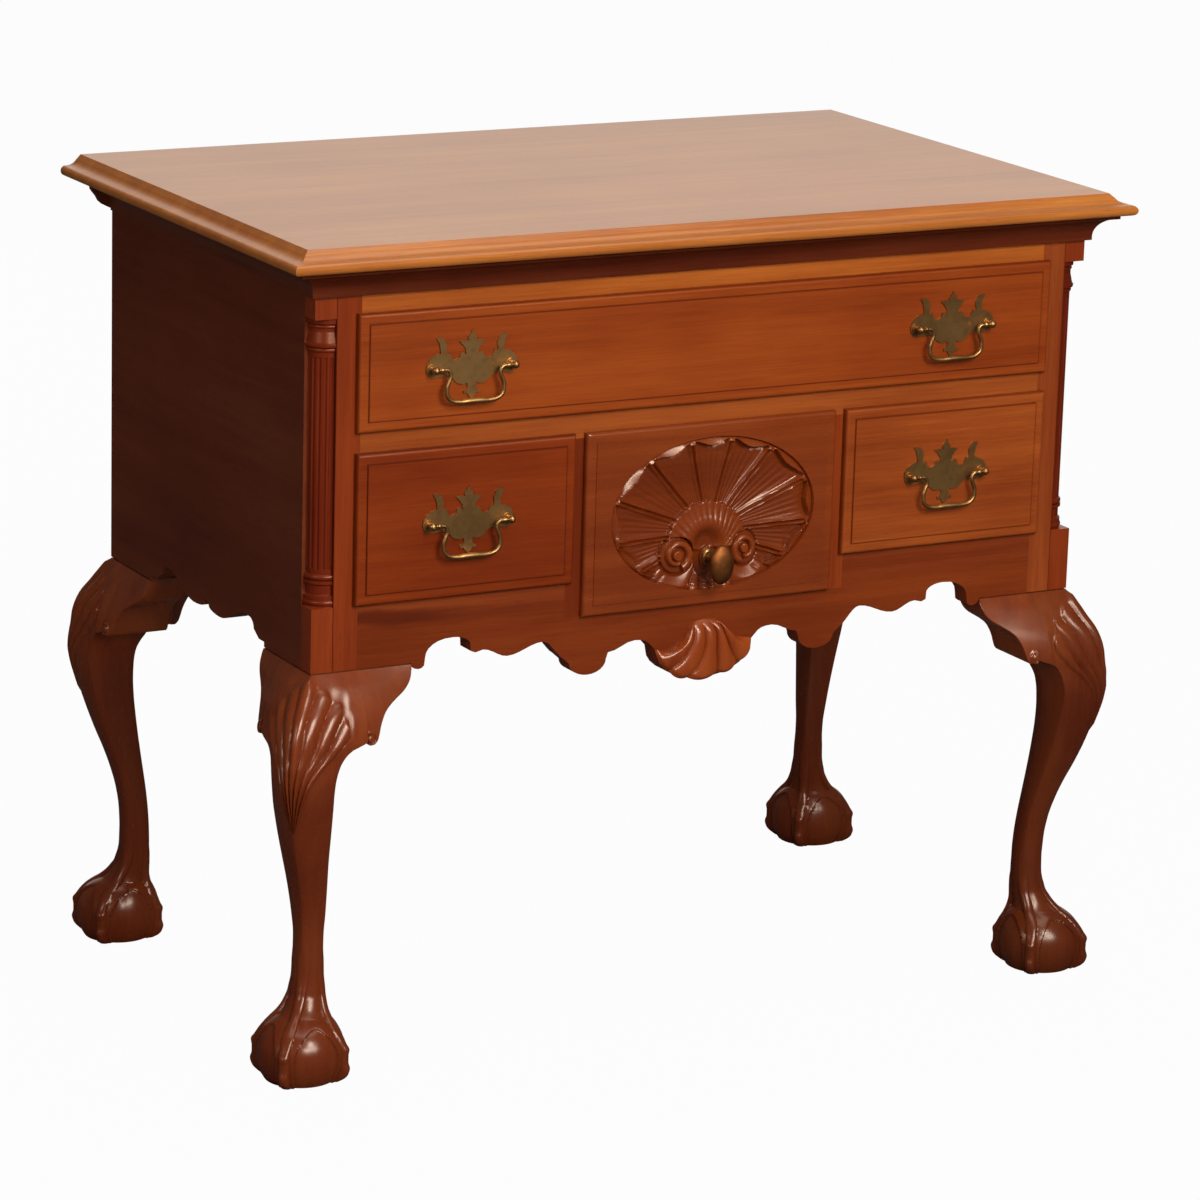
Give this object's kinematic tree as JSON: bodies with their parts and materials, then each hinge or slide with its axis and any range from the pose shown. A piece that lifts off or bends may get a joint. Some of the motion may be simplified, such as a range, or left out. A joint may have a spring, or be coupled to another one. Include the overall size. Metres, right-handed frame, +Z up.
{
  "type": "lowboy",
  "caption": "Lowboy or dressing table: one long drawer over three short ones in a scalloped case on cabriole legs with claw and ball feet; brass pulls that swing.",
  "frame": {"origin": "on the floor under the middle of the top", "axes": "+X to the right as one faces the drawers, +Y to the back, +Z up"},
  "size_m": [0.9192, 0.558, 0.805],
  "materials": {
    "mahogany": "rubbed satin, red brown mahogany",
    "secondary_wood": "bare planed softwood",
    "brass": "aged, brown in the hollows"
  },
  "bodies": {
    "case": {"top_board": "mahogany", "cove_front": "mahogany", "cove_sides": "mahogany", "side_panel_left": "mahogany", "side_panel_right": "mahogany", "stile_left": "mahogany", "stile_right": "mahogany", "top_rail": "mahogany", "middle_rail": "mahogany", "lower_rails": "mahogany", "dividers": "mahogany", "apron": "mahogany", "pendant_shell": "mahogany", "corner_blocks": "mahogany", "quarter_column_left": "mahogany", "quarter_column_right": "mahogany", "leg_front_left": "mahogany", "leg_front_right": "mahogany", "leg_back_left": "mahogany", "leg_back_right": "mahogany", "knee_blocks_front": "mahogany", "knee_blocks_back": "mahogany", "back_panel": "secondary_wood", "upper_runners": "secondary_wood", "lower_runners": "secondary_wood", "drawer_guides": "secondary_wood", "kickers": "secondary_wood"},
    "long_drawer": {"long_drawer_front": "mahogany", "long_drawer_sides": "secondary_wood", "long_drawer_back": "secondary_wood", "long_drawer_bottom": "secondary_wood", "plates_long_drawer": "brass", "posts_long_drawer": "brass", "nuts_long_drawer": "brass"},
    "left_drawer": {"left_drawer_front": "mahogany", "left_drawer_sides": "secondary_wood", "left_drawer_back": "secondary_wood", "left_drawer_bottom": "secondary_wood", "plate_left_drawer": "brass", "posts_left_drawer": "brass", "nuts_left_drawer": "brass"},
    "centre_drawer": {"centre_drawer_front": "mahogany", "centre_drawer_sides": "secondary_wood", "centre_drawer_back": "secondary_wood", "centre_drawer_bottom": "secondary_wood", "centre_knob": "brass", "knob_plate": "brass", "knob_nut": "brass"},
    "right_drawer": {"right_drawer_front": "mahogany", "right_drawer_sides": "secondary_wood", "right_drawer_back": "secondary_wood", "right_drawer_bottom": "secondary_wood", "plate_right_drawer": "brass", "posts_right_drawer": "brass", "nuts_right_drawer": "brass"},
    "bail_long_left": {"bail_long_left": "brass"},
    "bail_long_right": {"bail_long_right": "brass"},
    "bail_left_drawer": {"bail_left_drawer": "brass"},
    "bail_right_drawer": {"bail_right_drawer": "brass"}
  },
  "joints": [
    {"name": "long_slide", "type": "slide", "parent": "case", "child": "long_drawer", "axis": [0, -1, 0], "range_m": [0, 0.32]},
    {"name": "left_slide", "type": "slide", "parent": "case", "child": "left_drawer", "axis": [0, -1, 0], "range_m": [0, 0.32]},
    {"name": "centre_slide", "type": "slide", "parent": "case", "child": "centre_drawer", "axis": [0, -1, 0], "range_m": [0, 0.32]},
    {"name": "right_slide", "type": "slide", "parent": "case", "child": "right_drawer", "axis": [0, -1, 0], "range_m": [0, 0.32]},
    {"name": "bail_long_left_hinge", "type": "hinge", "parent": "long_drawer", "child": "bail_long_left", "pos_m": [-0.263, -0.2596, 0.68325], "axis": [-1, 0, 0], "range_deg": [-6, 90]},
    {"name": "bail_long_right_hinge", "type": "hinge", "parent": "long_drawer", "child": "bail_long_right", "pos_m": [0.263, -0.2596, 0.68325], "axis": [-1, 0, 0], "range_deg": [-6, 90]},
    {"name": "bail_left_drawer_hinge", "type": "hinge", "parent": "left_drawer", "child": "bail_left_drawer", "pos_m": [-0.26325, -0.2596, 0.53475], "axis": [-1, 0, 0], "range_deg": [-6, 90]},
    {"name": "bail_right_drawer_hinge", "type": "hinge", "parent": "right_drawer", "child": "bail_right_drawer", "pos_m": [0.26325, -0.2596, 0.53475], "axis": [-1, 0, 0], "range_deg": [-6, 90]}
  ]
}
